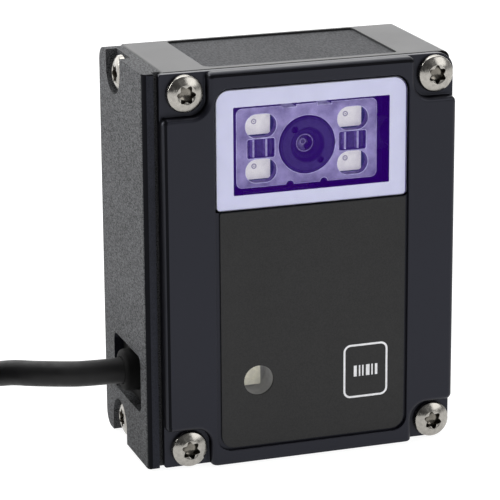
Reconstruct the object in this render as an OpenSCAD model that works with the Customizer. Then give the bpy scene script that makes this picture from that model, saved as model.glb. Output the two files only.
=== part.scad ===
// Small built-in reader for printed codes, with a screwed front cover, a side
// plate, a glazed reading window, one key under a film and a thin round cable.
// Millimetres. X runs to the right seen from the front, Y runs from front to
// back and Z is up. The origin is the middle of the base of the body.

/* [Body] */
// Overall width, with the side plate
body_w = 42; // [42:0.5:44]
// Overall height
body_h = 52.5; // [52.5:0.5:54]
// Overall depth, from the front of the cover to the back
body_d = 21.2; // [21.2:0.2:22]
// Wall thickness of the housing
wall = 2; // [1.8:0.1:2.2]
// Radius of the long edges on the right-hand side
corner_r = 2.2; // [1:0.1:2.4]
// Depth of the shallow recess in the top
top_recess = 0.3; // [0.1:0.05:0.5]

/* [Side plate] */
// Thickness of the side plate
plate_t = 2.65; // [2.5:0.05:2.7]
// Height of the centre of the cable opening
opening_z = 10.55; // [10.2:0.05:11]
// Width of a screw notch
notch_w = 6.4; // [6.3:0.1:6.8]

/* [Front cover] */
// Height of the raised face above the screw pockets
raise = 1.35; // [1.2:0.05:1.4]
// Depth of the long recess that takes the window and the film
label_recess = 0.5; // [0.4:0.05:0.6]
// Width of that recess
label_w = 26.4; // [26:0.1:26.6]
// Distance between the cover screws, across
screw_dx = 33.9; // [33.6:0.1:34.2]
// Diameter of the status light hole in the film
status_d = 4; // [3:0.1:4]

/* [Screws] */
// Head diameter of the cover and plate screws
head_d = 4.9; // [4.2:0.1:4.9]
// Head height of the cover and plate screws
head_k = 1.35; // [1.1:0.05:1.35]

/* [Key] */
// Travel of the key
key_travel = 0.25; // [0.15:0.05:0.25]

/* [Mounting holes] */
// Spacing of the tapped holes in the back, across
mount_dx = 26; // [24:1:27]
// Spacing of the tapped holes in the back, up
mount_dz = 36; // [35:1:37]
// Radius of the tapped holes
mount_r = 1.25; // [1:0.05:1.3]
// Depth of the tapped holes
mount_l = 5; // [4:0.5:5]

/* [Cable] */
// Outside diameter of the cable
cable_d = 3.4; // [3:0.1:3.4]

/* [Hidden] */
$fn = 64;

// Planes across the width
x0 = -body_w/2;            // outer face of the side plate
x1 = body_w/2;             // right-hand face
xp = x0 + plate_t;         // inner face of the side plate
hx0 = xp + 0.3;            // left face of the housing
lip_x = x0 + 1.5;          // inner edge of the plate's front lip
cx0 = x0 + 2.15;           // left edge of the cover
xc = x0 + 22.25;           // middle of the front features
// Planes from front to back
yf = -body_d/2;            // front of the cover
yc = yf + raise;           // floor of the screw pockets
yl = yf + label_recess;    // floor of the label recess
yw = yf + 1.5;             // seat of the window
yk = yf + 2.3;             // back of the cover
hy0 = yk + 0.3;            // front of the housing
yb = body_d/2;             // back
ycav = yb - wall;          // inner face of the back wall
yn = yf + 1.35;            // front of the plate's lip
// Heights
H = body_h;
ht = H - 0.15;             // top of housing and cover
edge_r = 0.6;              // right-hand corners of the housing
// Cover screws
sxs = [xc + 0.15 - screw_dx/2, xc + 0.15 + screw_dx/2];
szs = [2.45, H - 2.75];
// Plate screws
sy = yb - 6.5;
pzs = [2.65, H - 2.65];
notch_x = x0 + 1.5;
// Cable bush
bz = opening_z + 0.3;
cable_r = cable_d/2;
bush_x = x0 - 0.85;
// Camera centre
ex = xc - 0.1;
ez = H - 10.95;
led_dx = 6.25;
led_dz = 2.95;
// Main board planes
mb0 = yf + 13.5;
mb1 = mb0 + 1.6;
post_x = [xc - 12.5, xc + 12.5];
post_z = [17, H - 14.5];
// Front board planes
fb0 = yf + 4.4;
fb1 = fb0 + 1;
fbz = [7, 17];
fbx = xc - 0.75;
// Key and status light
kx = xc + 7.4;
kz = 10.7;
lx = xc - 7.45;
lz = 11;
key_y = yl + 0.05;
key_back = yk + 0.35;

// Cord route, from inside the bush to the coil and from the coil to the plug
lead_pts = [
    [-13.6, 0, bz], [-22, 0, bz], [-27, 0.4, bz], [-30, 1.5, 10.8],
    [-33, 3.4, 10.6], [-35.4, 5.8, 10.2], [-37.9, 9, 9], [-40.4, 12.1, 7],
    [-42.8, 15.2, 4.9], [-45.3, 18.4, 3.2], [-47.8, 21.5, 2.5]
];
tail_pts = [
    [-47.9, -5.6, 19.5], [-45.6, -2.2, 19.7], [-44, 1.6, 20.2], [-43.2, 5.6, 21],
    [-43.2, 9.6, 21.9], [-44.2, 13.5, 22.8], [-46.3, 17, 23.7], [-49.4, 19.7, 24.5],
    [-53, 21.5, 25], [-56, 22, 25.2], [-57, 22, 25.2]
];
coil_c = [-65, 8];
coil_r = [13.7, 23.6];
coil_z = [0.8, 21.2];
tie_angle = 230;
plug_x = -57.1;
plug_y = 22;
plug_z = 25.2;
cord_dx = -(body_w - 42)/2;

// ---------------------------------------------------------------- helpers

// Rounded rectangle about its middle
module rr(w, h, r) {
    square([w - 2*r, h], center = true);
    square([w, h - 2*r], center = true);
    for (i = [-1, 1], j = [-1, 1]) translate([i*(w/2 - r), j*(h/2 - r)]) circle(r);
}
// Rounded rectangle between two corners
module rrb(xa, za, xb, zb, r) {
    translate([(xa + xb)/2, (za + zb)/2]) rr(xb - xa, zb - za, r);
}
// Rectangle with its own radius at the four corners: left-low, right-low, right-high, left-high
module rect4(xa, za, xb, zb, r) {
    p = [[xa, za, 1, 1], [xb, za, -1, 1], [xb, zb, -1, -1], [xa, zb, 1, -1]];
    difference() {
        translate([xa, za]) square([xb - xa, zb - za]);
        for (i = [0:3]) if (r[i] > 0)
            translate([p[i][0], p[i][1]]) scale([1, 1])
                difference() {
                    translate([p[i][2] > 0 ? -1 : -r[i], p[i][3] > 0 ? -1 : -r[i]]) square(r[i] + 1);
                    translate([p[i][2]*r[i], p[i][3]*r[i]]) circle(r[i]);
                }
    }
}
// Outline in X and Z, from y = a to y = b
module xz(a, b) { translate([0, b, 0]) rotate([90, 0, 0]) linear_extrude(b - a) children(); }
// Outline in Y and Z, from x = a to x = b
module yz(a, b) { translate([a, 0, 0]) rotate([90, 0, 90]) linear_extrude(b - a) children(); }
// Round bar along Y
module ycyl(x, z, a, b, r) { translate([x, b, z]) rotate([90, 0, 0]) cylinder(r = r, h = b - a); }
// Round bar along X
module xcyl(y, z, a, b, r) { translate([a, y, z]) rotate([0, 90, 0]) cylinder(r = r, h = b - a); }
// Block between two corners
module blk(a, b) { translate(a) cube(b - a); }

// Button-head screw with a low domed top, head up from z = 0, shank down, with a six-lobe recess
module button_screw(d, k, shank_r, len, lobe) {
    rim = 0.65;
    big = (pow(d/2, 2) + pow(k - rim, 2))/(2*(k - rim));
    difference() {
        union() {
            intersection() {
                cylinder(d = d, h = k);
                translate([0, 0, k - big]) sphere(big, $fn = 96);
            }
            translate([0, 0, -len]) cylinder(r = shank_r, h = len + 0.1);
        }
        translate([0, 0, k - 0.95]) linear_extrude(2) {
            circle(lobe*0.78);
            for (i = [0:5]) rotate(60*i) translate([lobe*0.78, 0]) circle(lobe*0.27);
        }
    }
}
// Small pan-head screw, head up from z = 0, shank down, with a cross slot
module pan_screw(r, k, shank_r, len) {
    difference() {
        union() {
            cylinder(r = r, h = k);
            translate([0, 0, -len]) cylinder(r = shank_r, h = len + 0.1);
        }
        for (a = [0, 90]) rotate(a) translate([-r*0.6, -r*0.13, k*0.5]) cube([r*1.2, r*0.26, k]);
    }
}

// Tube swept along points
function unit(v) = v/norm(v);
function tangent(p, i) = unit(p[min(i + 1, len(p) - 1)] - p[max(i - 1, 0)]);
function side(t) = unit(cross(t, [0, 0, 1]));
function ring(p, i, r, n) = let (t = tangent(p, i), a = side(t), b = cross(a, t))
    [for (k = [0:n - 1]) p[i] + r*(cos(360*k/n)*a + sin(360*k/n)*b)];
module tube(p, r, n) {
    m = len(p);
    pts = [for (i = [0:m - 1]) each ring(p, i, r, n)];
    faces = concat(
        [[for (k = [n - 1:-1:0]) k]],
        [for (i = [0:m - 2], k = [0:n - 1])
            each [[i*n + k, i*n + (k + 1)%n, (i + 1)*n + (k + 1)%n],
                  [i*n + k, (i + 1)*n + (k + 1)%n, (i + 1)*n + k]]],
        [[for (k = [0:n - 1]) (m - 1)*n + k]]);
    polyhedron(points = pts, faces = faces, convexity = 6);
}

// ---------------------------------------------------------------- casing

module body_outline(xa, r) { rect4(xa, 0, x1, ht, [0.3, r, r, 0.3]); }

module housing_solid() {
    // walls, with the cavity open to the front
    difference() {
        xz(hy0, yb) body_outline(hx0, edge_r);
        xz(hy0 - 1, ycav) rrb(hx0 + wall, wall, x1 - wall, ht - wall, 1.5);
    }
    // bosses and pads, kept inside the outer outline
    intersection() {
        xz(hy0, yb) body_outline(hx0, edge_r);
        union() {
            for (x = sxs, z = szs) ycyl(x, z, hy0, ycav + 0.5, 2.9);
            for (z = pzs) xcyl(sy, z, hx0, hx0 + 8.5, 2.8);
            blk([hx0 + 0.5, hy0, opening_z - 5.85], [hx0 + 3.65, 8.15, opening_z + 5.85]);
            for (i = [-1, 1], j = [-1, 1])
                ycyl(xc + i*mount_dx/2, H/2 + j*mount_dz/2, ycav - 3.6, ycav + 0.5, 3.1);
            for (x = post_x, z = post_z) ycyl(x, z, mb1, ycav + 0.5, 2.1);
        }
    }
}

module main_housing() {
    color([0.13, 0.13, 0.14])
    difference() {
        housing_solid();
        // tapped holes for the cover screws and the plate screws
        for (x = sxs, z = szs) ycyl(x, z, hy0 - 1, hy0 + 7.2, 1.22);
        for (z = pzs) xcyl(sy, z, hx0 - 1, hx0 + 7.85, 1.22);
        // seat and passage for the cable bush
        yz(hx0 - 1, hx0 + 1.3) rrb(-7.15, opening_z - 4.85, 7.15, opening_z + 4.85, 1.2);
        xcyl(0, bz, hx0, hx0 + 5, 3.35);
        // tapped holes for mounting, in the back
        for (i = [-1, 1], j = [-1, 1])
            ycyl(xc + i*mount_dx/2, H/2 + j*mount_dz/2, yb - mount_l, yb + 1, mount_r);
        // board posts
        for (x = post_x, z = post_z) ycyl(x, z, mb1 - 1, mb1 + 4, 0.82);
        // shallow recess in the top
        translate([0, 0, ht - top_recess]) linear_extrude(2)
            rect4(xc - label_w/2, yf + 3.7, xc + label_w/2 - 0.25, yb - 0.7, [1.3, 0.7, 0.6, 0.6]);
    }
}

module side_plate() {
    color([0.36, 0.36, 0.37])
    difference() {
        intersection() {
            yz(x0, xp) rect4(yn, 0, yb, H, [0.3, 2, 2, 0.3]);
            // rounded front edge, and a step behind the lip for the cover's edge
            translate([0, 0, -1]) linear_extrude(H + 2) difference() {
                rect4(x0, yn, xp, yb, [0.7, 0, 0, 0]);
                translate([lip_x, yn - 1]) square([5, yk + 0.15 - yn + 1]);
            }
        }
        // cable opening
        yz(x0 - 1, xp + 1) rrb(-6.15, opening_z - 3.85, 6.15, opening_z + 3.85, 1.1);
        // screw notches, open at the top and bottom edges
        for (s = [0, 1]) {
            z = s == 0 ? 2.05 : H - 2.05;
            yz(x0 - 1, notch_x) union() {
                translate([sy, z]) circle(notch_w/2);
                translate([sy - notch_w/2, s == 0 ? -1 : z]) square([notch_w, 3.05]);
            }
            xcyl(sy, pzs[s], x0, xp + 1, 1.4);
        }
    }
}

module side_gasket() {
    color([0.05, 0.05, 0.05])
    yz(xp, hx0) difference() {
        rrb(-7.9, 0.6, yb - 0.6, ht - 0.6, 0.4);
        rrb(-7.15, 4.5, yb - 2, H - 4.6, 0.4);
        for (z = pzs) translate([sy, z]) circle(1.5);
    }
}

module side_screws() {
    color([0.75, 0.73, 0.69])
    for (z = pzs) translate([notch_x, sy, z]) rotate([0, -90, 0])
        button_screw(head_d, head_k, 1.2, 8.4, 1.2);
}

// Cut for a screw pocket in the raised face: corner at (x, z), opening towards (i, j)
module pocket(x, z, i, j) {
    difference() {
        translate([i > 0 ? x : x - 20, j > 0 ? z : z - 20]) square(20);
        translate([x, z]) difference() {
            translate([i > 0 ? -1 : -2.2, j > 0 ? -1 : -2.2]) square(3.2);
            translate([i*2.2, j*2.2]) circle(2.2);
        }
    }
}

module front_cover() {
    color([0.17, 0.17, 0.19])
    difference() {
        union() {
            xz(yc, yk) body_outline(cx0, corner_r);
            xz(yf, yc + 0.1) difference() {
                body_outline(cx0, corner_r);
                pocket(xc - 13.95, H - 5.7, -1, 1);
                pocket(xc + 13.95, H - 5.7, 1, 1);
                pocket(xc - 13.95, 5.2, -1, -1);
                pocket(xc + 13.95, 5.2, 1, -1);
            }
            for (i = [-1, 1]) ycyl(ex + i*13, ez, yk - 0.2, yf + 5.1, 1.9);
            for (z = fbz) ycyl(fbx, z, yk - 0.2, fb0, 1.8);
        }
        // long recess for the window and the film
        xz(yf - 1, yl) rrb(xc - label_w/2, 1.8, xc + label_w/2, H - 2.3, 2);
        // seat for the window, and the opening behind it
        xz(yf - 1, yw) rect4(xc - label_w/2, H - 18.5, xc + label_w/2, H - 2.3, [0.4, 0.4, 2, 2]);
        xz(yf, yk + 1) rrb(xc - 11.15, H - 16.8, xc + 11.15, H - 4.4, 0.8);
        // light hole and key hole
        ycyl(lx, lz, yf, yk + 1, 2.75);
        xz(yf, yk + 1) translate([kx, kz]) rr(4.9, 6.1, 0.95);
        // screw holes
        for (x = sxs, z = szs) ycyl(x, z, yf - 1, yk + 1, 1.4);
        for (i = [-1, 1]) ycyl(ex + i*13, ez, yf + 1.9, yf + 6, 1);
        for (z = fbz) ycyl(fbx, z, yf + 1.4, fb0 + 1, 0.8);
    }
}

module front_gasket() {
    color([0.05, 0.05, 0.05])
    xz(yk, hy0) difference() {
        intersection() {
            rrb(hx0 + 0.6, 0.6, x1 - 0.6, ht - 0.6, 1.7);
            union() {
                difference() {
                    square(200, center = true);
                    rrb(hx0 + 2, 2, x1 - 2, ht - 2, 1.5);
                }
                for (x = sxs, z = szs) translate([x, z]) circle(2.7);
            }
        }
        for (x = sxs, z = szs) translate([x, z]) circle(1.5);
    }
}

module front_screws() {
    color([0.75, 0.73, 0.69])
    for (x = sxs, z = szs) translate([x, yc, z]) rotate([90, 0, 0])
        button_screw(head_d, head_k, 1.2, 7.6, 1.2);
}

module window_plate() {
    color([0.78, 0.8, 0.88, 0.6])
    xz(yw - 1.1, yw - 0.1) rect4(xc - 12.95, H - 18.35, xc + 13.05, H - 2.6, [0.6, 0.6, 1.8, 1.8]);
}

module window_tape() {
    color([0.1, 0.1, 0.1])
    xz(yw - 0.1, yw) difference() {
        rect4(xc - 12.6, H - 18, xc + 12.7, H - 2.9, [0.5, 0.5, 1.5, 1.5]);
        rrb(xc - 11.15, H - 16.8, xc + 11.15, H - 4.4, 0.8);
    }
}

module front_overlay() {
    color([0.2, 0.2, 0.2])
    xz(yl - 0.25, yl) difference() {
        rect4(xc - 12.55, 2.1, xc + 12.85, H - 18.55, [1.7, 1.7, 0.2, 0.2]);
        translate([lx, lz]) circle(d = status_d);
    }
}

// ---------------------------------------------------------------- camera and lights

module engine_lens_plate() {
    color([0.6, 0.55, 0.8, 0.7])
    difference() {
        xz(yf + 2.1, yf + 4.3) translate([ex, ez + 0.15]) rr(19.2, 10.5, 0.8);
        // skirt around the lights
        xz(yf + 3.3, yf + 5) translate([ex, ez + 0.15]) rr(17.6, 9.7, 0.4);
        ycyl(ex, ez, yf, yf + 6, 3.85);
        for (i = [-1, 1]) {
            for (j = [-1, 1]) xz(yf, yf + 6) translate([ex + i*led_dx, ez + j*led_dz]) rr(4.2, 3.1, 1.5);
            xz(yf, yf + 6) translate([ex + i*led_dx, ez]) rr(3.7, 2.5, 0.25);
            ycyl(ex + i*2.3, ez - 5.1, yf, yf + 6, 0.5);
            blk([ex + i*2.4 - 0.95, yf, ez + 5.1], [ex + i*2.4 + 0.95, yf + 6, ez + 6]);
        }
    }
}

module aimer_lenses() {
    color([0.65, 0.6, 0.85, 0.7])
    for (i = [-1, 1]) intersection() {
        xz(yf + 2.2, yf + 3.2) translate([ex + i*led_dx, ez]) rr(3.5, 2.3, 0.2);
        union() {
            blk([ex + i*led_dx - 2, yf + 2.75, ez - 2], [ex + i*led_dx + 2, yf + 4, ez + 2]);
            for (k = [-1, 1]) translate([ex + i*led_dx + k*0.85, yf + 2.75, ez - 2]) cylinder(r = 0.52, h = 4);
        }
    }
}

module lens_barrel() {
    color([0.12, 0.11, 0.16])
    difference() {
        translate([ex, yf + 8.4, ez]) rotate([90, 0, 0]) rotate_extrude()
            polygon([[2.45, 0], [3.65, 0], [3.65, 6.3], [3.45, 6.5], [2.2, 6.5], [2.05, 6.2],
                     [1.25, 5.6], [1.25, 5.3], [2.45, 5.3]]);
        for (i = [-1, 1]) ycyl(ex - i*1.74, ez + i*2.1, yf, yf + 2.5, 0.45);
    }
}

module front_lens() {
    color([0.7, 0.75, 0.9, 0.5])
    difference() {
        union() {
            ycyl(ex, ez, yf + 3.1, yf + 4.3, 2.4);
            ycyl(ex, ez, yf + 3, yf + 3.2, 1.2);
        }
        // hollow front
        translate([ex, yf + 2.78, ez]) sphere(1.08);
    }
}

module rear_lens() {
    color([0.7, 0.75, 0.9, 0.5])
    ycyl(ex, ez, yf + 6.4, yf + 7.6, 2.4);
}

module illumination_leds() {
    color([0.9, 0.9, 0.88])
    for (i = [-1, 1], j = [-1, 1]) translate([ex + i*led_dx, 0, ez + j*led_dz])
        difference() {
            xz(yf + 3.4, yf + 4.3) rr(3.4, 2.8, 0.15);
            ycyl(-0.6, 0.4, yf + 3, yf + 3.55, 0.4);
        }
}

module aimer_leds() {
    color([0.85, 0.85, 0.8])
    for (i = [-1, 1]) blk([ex + i*led_dx - 1, yf + 3.6, ez - 0.6], [ex + i*led_dx + 1, yf + 4.3, ez + 0.6]);
}

module led_board() {
    color([0.1, 0.3, 0.15])
    difference() {
        xz(yf + 4.3, yf + 5.1) translate([ex, ez]) rr(19.6, 10.8, 0.6);
        ycyl(ex, ez, yf, yf + 7, 3.85);
    }
}

module engine_chassis() {
    color([0.3, 0.3, 0.32])
    difference() {
        union() {
            xz(yf + 5.1, yf + 10.6) translate([ex, ez]) rr(19.6, 10.8, 0.6);
            xz(yf + 5.1, yf + 6.6) translate([ex, ez]) rr(30.4, 4.4, 1.2);
        }
        ycyl(ex, ez, yf + 4, yf + 11, 3.7);
        xz(yf + 8.6, yf + 11) translate([ex, ez]) rr(8.4, 8.4, 0.5);
        for (i = [-1, 1]) {
            ycyl(ex + i*13, ez, yf + 4, yf + 7, 1.15);
            ycyl(ex + i*8.4, ez - i*4, yf + 7.2, yf + 11, 0.62);
        }
    }
}

module engine_mount_screws() {
    color([0.7, 0.7, 0.7])
    for (i = [-1, 1]) translate([ex + i*13, yf + 6.6, ez]) rotate([-90, 0, 0]) pan_screw(1.8, 1.3, 0.95, 4.5);
}

module image_sensor() {
    color([0.2, 0.2, 0.22])
    union() {
        xz(yf + 9.7, yf + 10.6) translate([ex, ez]) rr(6.6, 6.6, 0.2);
        xz(yf + 9.4, yf + 9.8) translate([ex, ez]) rr(5.6, 5.6, 0.2);
    }
}

module sensor_board() {
    color([0.1, 0.3, 0.15])
    difference() {
        xz(yf + 10.6, yf + 11.4) translate([ex, ez]) rr(19.6, 10.8, 0.6);
        for (i = [-1, 1]) ycyl(ex + i*8.4, ez - i*4, yf + 10, yf + 12, 0.8);
    }
}

module engine_screws() {
    color([0.7, 0.7, 0.7])
    for (i = [-1, 1]) translate([ex + i*8.4, yf + 11.4, ez - i*4]) rotate([-90, 0, 0]) pan_screw(1.2, 0.6, 0.6, 3.8);
}

module engine_flex() {
    color([0.75, 0.5, 0.2])
    yz(ex - 4, ex + 4) polygon([
        [yf + 11.4, H - 12], [yf + 11.6, H - 12], [yf + 11.6, H - 16.3], [yf + 12.75, H - 18],
        [yf + 12.75, H - 19.5], [yf + 12.55, H - 19.5], [yf + 12.55, H - 18.1], [yf + 11.4, H - 16.4]]);
}

// ---------------------------------------------------------------- decoder board

module flex_socket() {
    color([0.85, 0.82, 0.72])
    blk([ex - 5, mb0 - 1.2, H - 22], [ex + 5, mb0, H - 19.5]);
}

module main_board() {
    color([0.08, 0.28, 0.14])
    difference() {
        xz(mb0, mb1) rrb(xc - 14.85, 6, xc + 14.75, H - 6.5, 0.8);
        for (x = post_x, z = post_z) ycyl(x, z, mb0 - 1, mb1 + 1, 1.1);
    }
}

module board_screws() {
    color([0.7, 0.7, 0.7])
    for (x = post_x, z = post_z) translate([x, mb0, z]) rotate([90, 0, 0]) pan_screw(1.7, 1.2, 0.8, 5);
}

module processor_chip() {
    color([0.1, 0.1, 0.1])
    difference() {
        blk([xc - 4.75, mb0 - 1.2, 17.5], [xc + 6.25, mb0, 28.5]);
        ycyl(xc - 3.6, 27.3, mb0 - 2, mb0 - 1.1, 0.5);
    }
}

module memory_chip() {
    color([0.1, 0.1, 0.1])
    difference() {
        blk([xc - 12.75, mb0 - 1, 20], [xc - 6.75, mb0, 30]);
        ycyl(xc - 11.9, 29.1, mb0 - 2, mb0 - 0.9, 0.35);
    }
}

module crystal_can() {
    color([0.75, 0.75, 0.75])
    xz(mb0 - 1.1, mb0) translate([xc + 9.25, 31]) rr(5, 3.2, 0.6);
}

// Small parts: [x from the middle, z, width, height, thickness]
small_parts = [
    [-3, 14.5, 1.6, 0.8, 0.8], [-1, 14.5, 1.6, 0.8, 0.8], [1, 14.5, 1.6, 0.8, 0.8],
    [-5.8, 18.5, 0.8, 1.6, 0.8], [-5.8, 21, 0.8, 1.6, 0.8], [8.2, 24, 0.8, 1.6, 0.8],
    [8.2, 27, 0.8, 1.6, 0.8], [10.4, 26, 3.2, 2.6, 1.6], [-9.5, 33, 3.2, 2.6, 1.6],
    [-1.2, 9.5, 3.4, 2.8, 1.8], [0.2, 12.2, 2, 1.25, 1], [-12, 35, 1.6, 0.8, 0.8]
];
module board_parts() {
    color([0.55, 0.42, 0.3])
    for (p = small_parts)
        blk([xc + p[0] - p[2]/2, mb0 - p[4], p[1] - p[3]/2], [xc + p[0] + p[2]/2, mb0, p[1] + p[3]/2]);
}

module buzzer() {
    color([0.08, 0.08, 0.08])
    difference() {
        ycyl(xc + 7.25, 12, mb0 - 3.3, mb0, 4.5);
        ycyl(xc + 7.25, 12, mb0 - 4, mb0 - 2.4, 0.9);
    }
}

module cable_header() {
    color([0.9, 0.88, 0.8])
    difference() {
        blk([xc - 12.25, mb0 - 3.1, 8.8], [xc - 3.25, mb0, 12.9]);
        blk([xc - 11.75, mb0 - 4, 9.3], [xc - 3.75, mb0 - 0.7, 12.4]);
    }
}

module cable_connector() {
    color([0.92, 0.92, 0.9])
    difference() {
        blk([xc - 11.65, yf + 8, 9.4], [xc - 3.85, mb0 - 0.8, 12.3]);
        for (i = [0:4]) blk([xc - 11.2 + 1.55*i, yf + 11.5, 9], [xc - 10.5 + 1.55*i, mb0 - 1.2, 9.9]);
    }
}

// Five wires, each in its own level, from the cable's end to the connector
wire_in = [[-13.6, 0], [-13, -0.1], [-12.4, -1.2], [-11.6, -2.8], [-10.6, -3.8]];
module inner_wires() {
    color([0.6, 0.15, 0.12])
    for (i = [0:4]) {
        z = bz + (i - 2)*0.55;
        x = xc - 10.85 + 1.55*i;
        p = concat([for (q = wire_in) [q[0] + cord_dx, q[1], z]],
                   i == 0 ? [] : [[x - 0.8, yf + 6.7, z]],
                   [[x, yf + 7.1, z], [x, yf + 8, z]]);
        tube(p, 0.25, 6);
    }
}

// ---------------------------------------------------------------- key and status light

module front_board() {
    color([0.08, 0.28, 0.14])
    difference() {
        xz(fb0, fb1) rrb(xc - 12.05, 4.5, xc + 12.15, 19, 0.6);
        for (z = fbz) ycyl(fbx, z, fb0 - 1, fb1 + 1, 1);
    }
}

module front_board_screws() {
    color([0.7, 0.7, 0.7])
    for (z = fbz) translate([fbx, fb1, z]) rotate([-90, 0, 0]) pan_screw(1.5, 1, 0.75, 3.6);
}

module status_led() {
    color([0.75, 0.72, 0.66])
    xz(fb0 - 1.2, fb0) translate([lx, lz]) rr(2.4, 3.1, 0.15);
}

module light_sleeve() {
    color([0.35, 0.35, 0.35])
    difference() {
        ycyl(lx, lz, yl + 0.05, fb0 - 0.05, 2.6);
        ycyl(lx, lz, yl - 1, fb0 - 0.4, 2.05);
        xz(yl - 1, fb0 + 1) translate([lx, lz]) rr(2.6, 3.3, 0.2);
    }
}

module tact_switch() {
    color([0.15, 0.15, 0.15])
    difference() {
        xz(yf + 3.1, fb0) translate([kx, kz]) rr(4.6, 4.6, 0.3);
        ycyl(kx, kz, yf + 2, fb0 - 0.3, 1.25);
    }
}

module switch_stem() {
    color([0.9, 0.9, 0.9])
    ycyl(kx, kz, key_back, yf + 3.55, 1.1);
}

module scan_key() {
    color([0.12, 0.12, 0.12])
    union() {
        xz(key_y, yk + 0.1) translate([kx, kz]) rr(4.6, 5.8, 0.8);
        xz(yk + 0.05, key_back) translate([kx, kz]) rr(5.8, 7, 0.6);
    }
}

module link_flex() {
    color([0.75, 0.5, 0.2])
    yz(xc + 8.75, xc + 12) polygon([
        [fb1, 14.5], [fb1 + 0.2, 14.5], [fb1 + 0.2, 20], [mb0, 20], [mb0, 23],
        [mb0 - 0.2, 23], [mb0 - 0.2, 20.2], [fb1, 20.2]]);
}

// ---------------------------------------------------------------- cable

module cable_bushing() {
    color([0.1, 0.1, 0.1])
    difference() {
        union() {
            // nose with a rounded rim
            translate([bush_x, 0, bz]) rotate([0, 90, 0]) rotate_extrude()
                polygon([[0, 0], [2.4, 0], [2.65, 0.1], [2.8, 0.35], [2.8, 2.3], [0, 2.3]]);
            // block in the plate's opening
            yz(x0 + 1.2, xp + 0.1) rrb(-6.05, opening_z - 3.75, 6.05, opening_z + 3.75, 1);
            // flange behind the plate
            yz(xp + 0.05, hx0 + 1.2) rrb(-7, opening_z - 4.7, 7, opening_z + 4.7, 1.1);
            xcyl(0, bz, hx0 + 1, hx0 + 4.05, 3.2);
        }
        xcyl(0, bz, bush_x - 1, hx0 + 6, cable_r + 0.05);
    }
}

module cable_lead() {
    color([0.1, 0.1, 0.1])
    tube([for (p = lead_pts) p + [cord_dx, 0, 0]], cable_r, 8);
}

module cable_coil() {
    color([0.1, 0.1, 0.1])
    translate([coil_c[0] + cord_dx, coil_c[1], 0]) rotate_extrude()
        translate([coil_r[0], coil_z[0]]) square([coil_r[1] - coil_r[0], coil_z[1] - coil_z[0]]);
}

module cable_tail() {
    color([0.1, 0.1, 0.1])
    tube([for (p = tail_pts) p + [cord_dx, 0, 0]], cable_r, 8);
}

module cable_tie() {
    color([0.16, 0.16, 0.17])
    translate([coil_c[0] + cord_dx, coil_c[1], 0]) rotate(tie_angle) difference() {
        blk([coil_r[0] - 1.2, -2.5, 0], [coil_r[1] + 0.85, 2.5, coil_z[1] + 0.85]);
        blk([coil_r[0] - 0.4, -5, coil_z[0]], [coil_r[1] + 0.05, 5, coil_z[1] + 0.05]);
    }
}

// Overmould of the plug with its ribbed strain relief, one moulding
module plug_body() {
    color([0.1, 0.1, 0.1])
    translate([plug_x + cord_dx, plug_y, plug_z]) difference() {
        union() {
            rotate([0, -90, 0]) cylinder(r = 2.6, h = 8);
            for (i = [0:2]) translate([-1 - 2.2*i, 0, 0]) rotate([0, -90, 0]) cylinder(r = 3.1, h = 1.2);
            translate([-26.5, 0, 0]) rotate([90, 0, 90]) linear_extrude(19.5) rr(15.6, 7.8, 1.6);
        }
        // mouth that the metal shell sits in
        translate([-30, -6.05, -2.3]) cube([11, 12.1, 4.6]);
    }
}

module plug_shell() {
    color([0.75, 0.75, 0.75])
    translate([plug_x + cord_dx, plug_y, plug_z]) difference() {
        translate([-38.5, -6, -2.25]) cube([19.4, 12, 4.5]);
        translate([-40, -5.7, -1.95]) cube([20.6, 11.4, 3.9]);
        for (s = [-1, 1]) translate([-33.5, s*2.6 - 1.1, -5]) cube([2.4, 2.2, 10]);
    }
}

module plug_tongue() {
    color([0.92, 0.92, 0.9])
    translate([plug_x + cord_dx, plug_y, plug_z]) union() {
        translate([-37.8, -5.6, -1.9]) cube([18.3, 11.2, 1.85]);
        translate([-24, -5.6, -1.9]) cube([4.5, 11.2, 3.8]);
    }
}

module plug_contacts() {
    color([0.85, 0.68, 0.3])
    translate([plug_x + cord_dx, plug_y, plug_z])
        for (i = [0:3]) {
            l = (i == 0 || i == 3) ? 8.5 : 7.4;
            translate([-28 - l, -3.5 + i*7/3 - 0.5, -0.05]) cube([l, 1, 0.15]);
        }
}

// ---------------------------------------------------------------- nodes

main_housing();
side_plate();
side_gasket();
side_screws();
front_cover();
front_gasket();
front_screws();
window_plate();
window_tape();
front_overlay();
engine_lens_plate();
aimer_lenses();
lens_barrel();
front_lens();
rear_lens();
illumination_leds();
aimer_leds();
led_board();
engine_chassis();
engine_mount_screws();
image_sensor();
sensor_board();
engine_screws();
engine_flex();
flex_socket();
main_board();
board_screws();
processor_chip();
memory_chip();
crystal_can();
board_parts();
buzzer();
cable_header();
cable_connector();
inner_wires();
front_board();
front_board_screws();
status_led();
light_sleeve();
tact_switch();
switch_stem();
scan_key();
link_flex();
cable_bushing();
cable_lead();
cable_coil();
cable_tail();
cable_tie();
plug_body();
plug_shell();
plug_tongue();
plug_contacts();
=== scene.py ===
import math

import bmesh
import bpy
from mathutils import Matrix, Vector


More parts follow.
